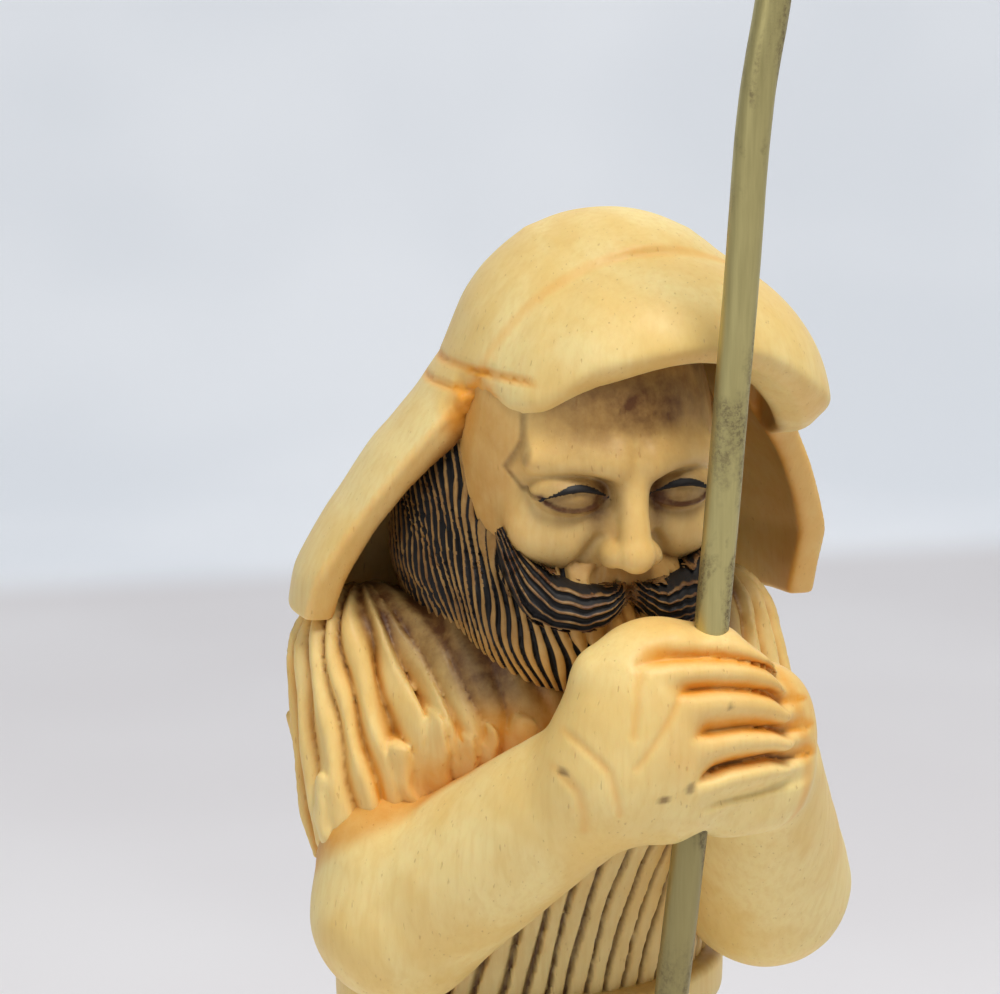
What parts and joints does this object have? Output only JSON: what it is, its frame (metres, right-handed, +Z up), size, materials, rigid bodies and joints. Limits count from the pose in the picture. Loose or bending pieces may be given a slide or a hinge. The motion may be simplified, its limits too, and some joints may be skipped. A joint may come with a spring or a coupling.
{
  "type": "nativity figure",
  "caption": "Carved wooden nativity shepherd in a thick hood and fluted tunic, both hands closed round a thin metal crook, standing on a low oval plinth.",
  "frame": {"origin": "middle of the plinth's flat underside", "axes": "+Z up to the crown of the hood, the figure faces -Y, +X to the figure's left side"},
  "size_m": [0.0636, 0.0726, 0.194],
  "materials": {
    "carved_wood": "pale carved wood with a satin sheen, warm stain in the grooves",
    "staff_metal": "dull tarnished brass rod with darker patches"
  },
  "bodies": {
    "root": {"figure": "carved_wood", "staff": "staff_metal"}
  },
  "joints": []
}
